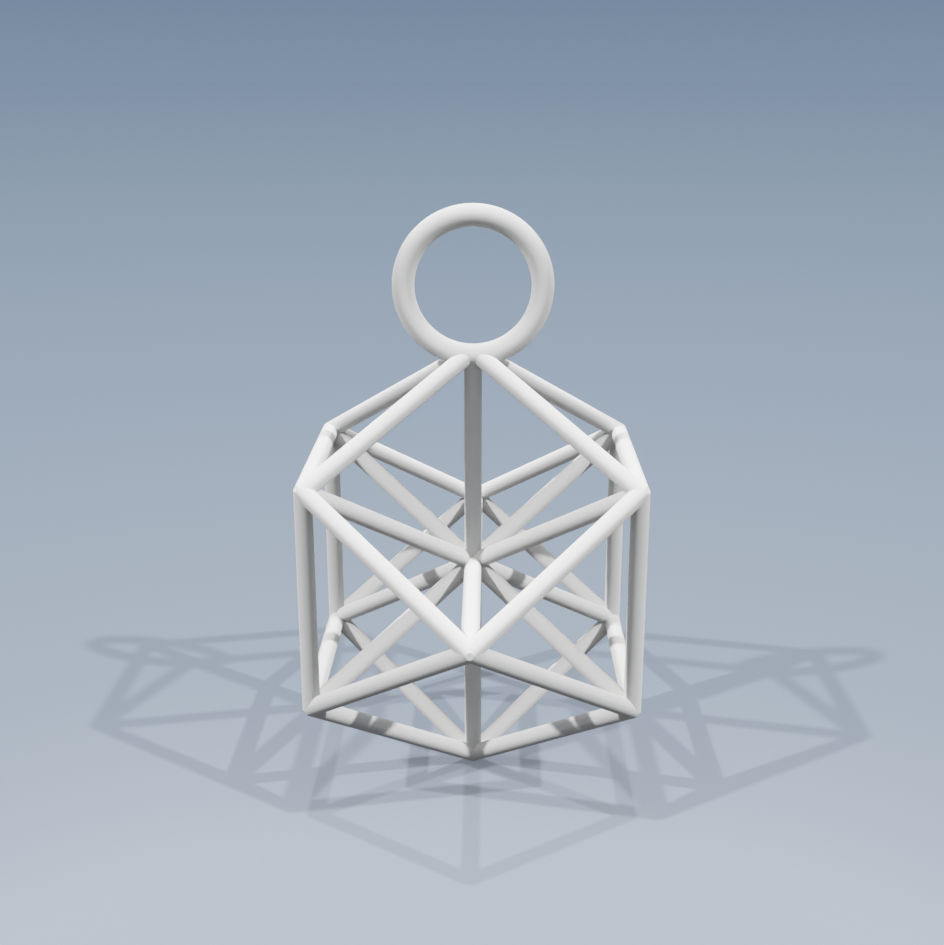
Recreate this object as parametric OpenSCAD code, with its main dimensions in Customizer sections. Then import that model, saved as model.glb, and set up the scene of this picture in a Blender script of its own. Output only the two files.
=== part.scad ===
// Vector equilibrium pendant.
// A cuboctahedron drawn in round rods, with a spoke from its centre to each of its
// twelve joints. It hangs point up from a plain round ring that grows out of the top
// joint. The rods are mitred where they meet, so none of them overlaps another.

/* [Cage] */
// Distance between the centres of joined joints, and from the centre to every joint
rod_len = 14.5; // [14:0.5:24]
// Diameter of every edge and spoke
rod_d = 1.14; // [0.9:0.02:1.24]
// Height of the small flat tip of a joint, as a share of the rods' radius
tip_share = 0.93; // [0.8:0.01:0.95]

/* [Hanging ring] */
// Diameter of the ring's hole
ring_hole_d = 7.4; // [5:0.1:12]
// Thickness of the ring's round wire
ring_wire_d = 1.44; // [1.4:0.02:1.8]
// How far the wire's centre line dips below the centre of the top joint
ring_sink = 0.25; // [0.15:0.05:0.3]
// How far the ring stands in front of the cage's middle, so that its wire covers the rods' meeting
ring_forward = 0.15; // [0:0.05:0.25]

/* [Hidden] */
$fn = 64;

// The twelve joints, one rod length from the centre: name, place
half_rod = rod_len / 2;
side_x = rod_len * sqrt(0.5);
CENTRE = [0, 0, 0];
JOINTS = concat(
    [
        ["top", [0, 0, rod_len]],
        ["bottom", [0, 0, -rod_len]],
        ["front", [0, -rod_len, 0]],
        ["back", [0, rod_len, 0]]
    ],
    [
        for (level = [["upper", half_rod], ["lower", -half_rod]],
             face = [["front", -half_rod], ["back", half_rod]],
             side = [["left", -side_x], ["right", side_x]])
            [str(level[0], "_", face[0], "_", side[0]), [side[1], face[1], level[1]]]
    ]
);
TOP = JOINTS[0][1];
PLACES = concat([CENTRE], [for (joint = JOINTS) joint[1]]);

// Every rod: name, start, end. Joints one rod length apart are joined by an edge
length_slack = 0.001;
last_joint = len(JOINTS) - 1;
EDGES = [
    for (i = [0 : last_joint - 1], j = [i + 1 : last_joint])
        if (one_rod_apart(JOINTS[i][1], JOINTS[j][1]))
            [str("edge_", JOINTS[i][0], "_to_", JOINTS[j][0]), JOINTS[i][1], JOINTS[j][1]]
];
SPOKES = [for (joint = JOINTS) [str("spoke_", joint[0]), CENTRE, joint[1]]];
RODS = concat(EDGES, SPOKES);

// A rod meets those up to a right angle away at a joint, and 60 degrees away at the centre
widest_at_joint = cos(95);
widest_at_centre = cos(65);

// The ring stands upright, and the pendant hangs from the inside of its top, the origin
ring_line_r = (ring_hole_d + ring_wire_d) / 2;
ring_z = rod_len - ring_sink + ring_line_r;
hang_z = ring_z + ring_hole_d / 2;

function unit(v) = v / norm(v);

function one_rod_apart(p, q) = abs(norm(p - q) - rod_len) < length_slack;

// Directions of the rods that share a mitre with the rod that runs from one place to another
function mitred_ways(from, to) = [
    for (place = PLACES)
        if (place != to && one_rod_apart(from, place))
            if (unit(place - from) * unit(to - from) > (from == CENTRE ? widest_at_centre : widest_at_joint))
                unit(place - from)
];

// Stands its children at a point, with their Z axis turned along a direction
module stand(point, way) {
    translate(point)
        rotate([0, acos(way[2] / norm(way)), atan2(way[1], way[0])])
            children();
}

// A block that fills the space past a plane, wide enough to cut one rod's end
module past_plane(point, way) {
    block = 4 * rod_d;
    stand(point, way)
        translate([-block / 2, -block / 2, 0])
            cube(block);
}

// All that the rod's end at one place gives up to the rods beside it, and the joint's flat tip
module end_cuts(from, to) {
    for (way = mitred_ways(from, to)) past_plane(from, way - unit(to - from));
    if (from != CENTRE) past_plane(from + tip_share * rod_d / 2 * unit(from), from);
}

// From the cage's own frame, with its centre at zero, to the pendant's
module at_cage() {
    translate([0, ring_forward, -hang_z]) children();
}

// Turns the Z axis of its children into the ring's axis, at the ring's centre in the cage's frame
module at_ring() {
    translate([0, -ring_forward, ring_z])
        rotate([90, 0, 0])
            children();
}

module ring() {
    at_ring()
        rotate_extrude()
            translate([ring_line_r, 0]) circle(d = ring_wire_d);
}

// The ring, and the top joint's tip, which would stand in the ring's hole
module ring_room() {
    tip_w = 0.9 * ring_wire_d;
    ring();
    at_ring() cylinder(r = ring_line_r, h = tip_w, center = true);
}

module hanging_ring() {
    color("whitesmoke") at_cage() ring();
}

// An edge or a spoke, cut to fit the rods that it meets and the ring's wire
module rod(start, end) {
    overrun = rod_d / 2;
    way = unit(end - start);
    color("whitesmoke")
        at_cage()
            difference() {
                stand(start - overrun * way, way) cylinder(d = rod_d, h = rod_len + 2 * overrun);
                end_cuts(start, end);
                end_cuts(end, start);
                if (start == TOP || end == TOP) ring_room();
            }
}

hanging_ring();
for (rod = RODS) rod(rod[1], rod[2]);
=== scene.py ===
"""Looks of the vector equilibrium pendant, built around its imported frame, in metres."""

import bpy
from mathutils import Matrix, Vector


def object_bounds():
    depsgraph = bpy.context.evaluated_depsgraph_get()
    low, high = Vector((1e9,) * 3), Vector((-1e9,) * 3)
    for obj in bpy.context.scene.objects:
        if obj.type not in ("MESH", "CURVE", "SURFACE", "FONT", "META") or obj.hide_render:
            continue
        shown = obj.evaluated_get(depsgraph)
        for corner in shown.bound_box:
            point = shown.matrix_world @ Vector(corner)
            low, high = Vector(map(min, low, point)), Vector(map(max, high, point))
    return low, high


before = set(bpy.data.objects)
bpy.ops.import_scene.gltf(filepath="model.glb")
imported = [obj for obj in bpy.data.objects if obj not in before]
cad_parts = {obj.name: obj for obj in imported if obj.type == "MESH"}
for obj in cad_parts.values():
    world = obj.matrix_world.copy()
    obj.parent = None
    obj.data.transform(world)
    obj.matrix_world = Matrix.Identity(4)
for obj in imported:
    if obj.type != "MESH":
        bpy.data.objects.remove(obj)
cad_box = [list(corner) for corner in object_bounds()]

import math

import bpy
from mathutils import Vector

MM = 0.001

# The view of the photograph, in the pendant's own frame
CAMERA_PLACE = Vector((1.04, -81.7, 8.95)) * MM
CAMERA_TURN = math.radians(0.775)
CAMERA_DIP = math.radians(17.63)
LENS_MM = 49.3
SENSOR_MM = 36.0
FRAME_SHIFT = 0.0153
NEAREST_SEEN = 1 * MM

# Lights: one sun on each side of the camera and one overhead, turns counted from the camera's side
LEFT_LIGHT_TURN = math.radians(-59)
RIGHT_LIGHT_TURN = math.radians(56.3)
SIDE_LIGHT_RISE = math.radians(46.2)
SIDE_LIGHT_POWER = 3.44
TOP_LIGHT_RISE = math.radians(89.9)
TOP_LIGHT_POWER = 1.75
LIGHT_WIDTH = math.radians(1.2)

# Camera's response: tones follow the light where it is dim and level off towards a top where it is bright
RESPONSE_TOP = 0.98
RESPONSE_REACH = 6.0
RESPONSE_STEPS = 14
ALL_CHANNELS_CURVE = 3

# Backdrop's tones: at the horizon, just above it and higher up
HORIZON_TONE = (0.22, 0.292, 0.386)
BACKDROP_TONE = (0.184, 0.254, 0.356)
UPPER_TONE = (0.11, 0.14, 0.18)

# Light from the surroundings, from below and from overhead
LOW_LIGHT = (0.12, 0.095, 0.07)
OVERHEAD_LIGHT = (1.25, 1.21, 1.17)

# Floor: a painted pool of light, pale near a point in front of the pendant and painted greyer with distance
# from it
FLOOR_REACH = 10.0
LIGHT_POOL_PLACE = Vector((0, -45, 0)) * MM
LIGHT_POOL_HALF = 100 * MM

# Each row: distance from that point as a share, distance / (distance + the pool's half-way distance), and
# the painted tone there
PAINTED_POOL_TONES = (
    (0.265, (0.508, 0.558, 0.617)),
    (0.33, (0.456, 0.509, 0.578)),
    (0.384, (0.418, 0.474, 0.546)),
    (0.45, (0.397, 0.456, 0.527)),
    (0.62, (0.342, 0.407, 0.491)),
    (0.836, (0.275, 0.347, 0.434)),
    (1.0, (0.209, 0.281, 0.376)),
)

# The floor glows a little, which keeps its shadows faint. Its light is that glow and all that falls on it
FLOOR_GLOW = 1.0
FLOOR_LIGHT = 3.87

# Pendant's finish
BODY_COLOUR = (0.80, 0.80, 0.79)
BODY_SHADE = (0.76, 0.76, 0.75)
BODY_ROUGHNESS_RANGE = (0.6, 0.8)
BODY_GLOSS = 0.3
BODY_CHALK = 0.6
MOTTLE_SIZE = 4 * MM
MOTTLE_DETAIL = 3.0
GRAIN_SIZE = 0.12 * MM
GRAIN_DETAIL = 2.0
GRAIN_DEPTH = 0.006 * MM


def tone_of(light):
    """Tone that the picture shows for an amount of light."""
    return RESPONSE_TOP * (1 - math.exp(-light / RESPONSE_TOP))


def light_for(tone):
    """Amounts of light, by colour channel, that the picture shows as the given tone."""
    return [-RESPONSE_TOP * math.log(1 - part / RESPONSE_TOP) for part in tone]


def camera_response():
    """Give the picture the response curve."""
    view = bpy.context.scene.view_settings
    view.view_transform = "Standard"
    view.use_curve_mapping = True
    mapping = view.curve_mapping
    mapping.clip_max_x = RESPONSE_REACH
    curve = mapping.curves[ALL_CHANNELS_CURVE]
    curve.points[1].location = (RESPONSE_REACH, tone_of(RESPONSE_REACH))
    for step in range(1, RESPONSE_STEPS):
        light = RESPONSE_REACH * (step / RESPONSE_STEPS) ** 2
        curve.points.new(light, tone_of(light))
    mapping.update()


def new_material(name):
    """A material, its nodes, its links and its shader."""
    material = bpy.data.materials.new(name)
    material.use_nodes = True
    nodes = material.node_tree.nodes
    return material, nodes, material.node_tree.links, nodes["Principled BSDF"]


def add_ramp(nodes, stops):
    """A colour ramp node with the given places and colours."""
    node = nodes.new("ShaderNodeValToRGB")
    elements = node.color_ramp.elements
    while len(elements) < len(stops):
        elements.new(1)
    for element, (place, colour) in zip(elements, stops):
        element.position = place
        element.color = (*colour, 1)
    return node


def printed_white():
    """Matte near-white body: a faint mottle in its colour and roughness, and an even fine grain."""
    material, nodes, links, shader = new_material("printed_white")
    shader.inputs["Specular IOR Level"].default_value = BODY_GLOSS
    shader.inputs["Diffuse Roughness"].default_value = BODY_CHALK
    place = nodes.new("ShaderNodeTexCoord")
    mottle = nodes.new("ShaderNodeTexNoise")
    mottle.inputs["Scale"].default_value = 1 / MOTTLE_SIZE
    mottle.inputs["Detail"].default_value = MOTTLE_DETAIL
    tone = nodes.new("ShaderNodeMix")
    tone.data_type = "RGBA"
    tone.inputs["A"].default_value = (*BODY_SHADE, 1)
    tone.inputs["B"].default_value = (*BODY_COLOUR, 1)
    roughness = nodes.new("ShaderNodeMapRange")
    roughness.inputs["To Min"].default_value = BODY_ROUGHNESS_RANGE[0]
    roughness.inputs["To Max"].default_value = BODY_ROUGHNESS_RANGE[1]
    grain = nodes.new("ShaderNodeTexNoise")
    grain.inputs["Scale"].default_value = 1 / GRAIN_SIZE
    grain.inputs["Detail"].default_value = GRAIN_DETAIL
    bump = nodes.new("ShaderNodeBump")
    bump.inputs["Strength"].default_value = 1.0
    bump.inputs["Distance"].default_value = GRAIN_DEPTH
    links.new(place.outputs["Object"], mottle.inputs["Vector"])
    links.new(place.outputs["Object"], grain.inputs["Vector"])
    links.new(mottle.outputs["Fac"], tone.inputs["Factor"])
    links.new(mottle.outputs["Fac"], roughness.inputs["Value"])
    links.new(roughness.outputs["Result"], shader.inputs["Roughness"])
    links.new(tone.outputs["Result"], shader.inputs["Base Color"])
    links.new(grain.outputs["Fac"], bump.inputs["Height"])
    links.new(bump.outputs["Normal"], shader.inputs["Normal"])
    return material


def dress_frame(material):
    """Give every solid of the pendant the same material."""
    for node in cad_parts.values():
        node.data.materials.clear()
        node.data.materials.append(material)


def painted_pool_floor_material():
    """Plain floor with a painted pool of light: its tone depends on the distance from a point on it."""
    material, nodes, links, shader = new_material("floor_pale_painted_pool")
    shader.inputs["Roughness"].default_value = 1.0
    shader.inputs["Specular IOR Level"].default_value = 0.0
    shader.inputs["Emission Strength"].default_value = FLOOR_GLOW
    place = nodes.new("ShaderNodeTexCoord")
    distance = nodes.new("ShaderNodeVectorMath")
    distance.operation = "DISTANCE"
    distance.inputs[1].default_value = LIGHT_POOL_PLACE
    total = nodes.new("ShaderNodeMath")
    total.operation = "ADD"
    total.inputs[1].default_value = LIGHT_POOL_HALF
    share = nodes.new("ShaderNodeMath")
    share.operation = "DIVIDE"
    # Painted pool of light: the floor's colour and its glow are paler near that point and greyer away from
    # it
    painted_pool_colours = [(spot, [part / FLOOR_LIGHT for part in light_for(tone)]) for spot, tone in PAINTED_POOL_TONES]
    ramp = add_ramp(nodes, painted_pool_colours)
    links.new(place.outputs["Object"], distance.inputs[0])
    links.new(distance.outputs["Value"], total.inputs[0])
    links.new(distance.outputs["Value"], share.inputs[0])
    links.new(total.outputs["Value"], share.inputs[1])
    links.new(share.outputs["Value"], ramp.inputs["Fac"])
    links.new(ramp.outputs["Color"], shader.inputs["Base Color"])
    links.new(ramp.outputs["Color"], shader.inputs["Emission Color"])
    return material


def floor():
    """Floor under the lowest tip. It throws no light back up, as the photo's undersides are dark."""
    level = cad_box[0][2]
    bpy.ops.mesh.primitive_plane_add(size=2 * FLOOR_REACH, location=(0, 0, level))
    plane = bpy.context.object
    plane.name = "floor"
    plane.visible_diffuse = False
    plane.data.materials.append(painted_pool_floor_material())


def sun(name, turn, rise, power):
    """A sun from a compass turn, counted from the camera's side, and a height above the floor."""
    data = bpy.data.lights.new(name, "SUN")
    data.energy = power
    data.angle = LIGHT_WIDTH
    lamp = bpy.data.objects.new(name, data)
    bpy.context.scene.collection.objects.link(lamp)
    towards = Vector((math.sin(turn) * math.cos(rise), -math.cos(turn) * math.cos(rise), math.sin(rise)))
    lamp.rotation_euler = towards.to_track_quat("Z", "Y").to_euler()


def surroundings():
    """Soft light from overhead, with a blue-grey band along the horizon."""
    horizon = light_for(HORIZON_TONE)
    # Each row: height, from 0 straight down through 0.5 at the horizon to 1 straight up, and the light there
    stops = (
        (0.0, LOW_LIGHT),
        (0.47, LOW_LIGHT),
        (0.49, horizon),
        (0.5, horizon),
        (0.526, light_for(BACKDROP_TONE)),
        (0.6, light_for(UPPER_TONE)),
        (0.8, light_for(UPPER_TONE)),
        (0.84, OVERHEAD_LIGHT),
        (1.0, OVERHEAD_LIGHT),
    )
    world = bpy.data.worlds.new("studio")
    world.use_nodes = True
    bpy.context.scene.world = world
    nodes = world.node_tree.nodes
    links = world.node_tree.links
    place = nodes.new("ShaderNodeTexCoord")
    split = nodes.new("ShaderNodeSeparateXYZ")
    height = nodes.new("ShaderNodeMath")
    height.operation = "MULTIPLY_ADD"
    height.inputs[1].default_value = 0.5
    height.inputs[2].default_value = 0.5
    ramp = add_ramp(nodes, stops)
    links.new(place.outputs["Generated"], split.inputs["Vector"])
    links.new(split.outputs["Z"], height.inputs[0])
    links.new(height.outputs["Value"], ramp.inputs["Fac"])
    links.new(ramp.outputs["Color"], nodes["Background"].inputs["Color"])


def studio():
    """Floor, lights and surroundings."""
    floor()
    sun("light_left", LEFT_LIGHT_TURN, SIDE_LIGHT_RISE, SIDE_LIGHT_POWER)
    sun("light_right", RIGHT_LIGHT_TURN, SIDE_LIGHT_RISE, SIDE_LIGHT_POWER)
    sun("light_top", 0, TOP_LIGHT_RISE, TOP_LIGHT_POWER)
    surroundings()


def camera():
    """Camera at the photograph's place and angle."""
    data = bpy.data.cameras.new("photo_view")
    data.lens = LENS_MM
    data.sensor_width = SENSOR_MM
    data.shift_y = FRAME_SHIFT
    data.clip_start = NEAREST_SEEN
    view = bpy.data.objects.new("photo_view", data)
    bpy.context.scene.collection.objects.link(view)
    view.location = CAMERA_PLACE
    view.rotation_euler = (math.pi / 2 - CAMERA_DIP, 0, CAMERA_TURN)
    bpy.context.scene.camera = view


dress_frame(printed_white())
studio()
camera()
camera_response()
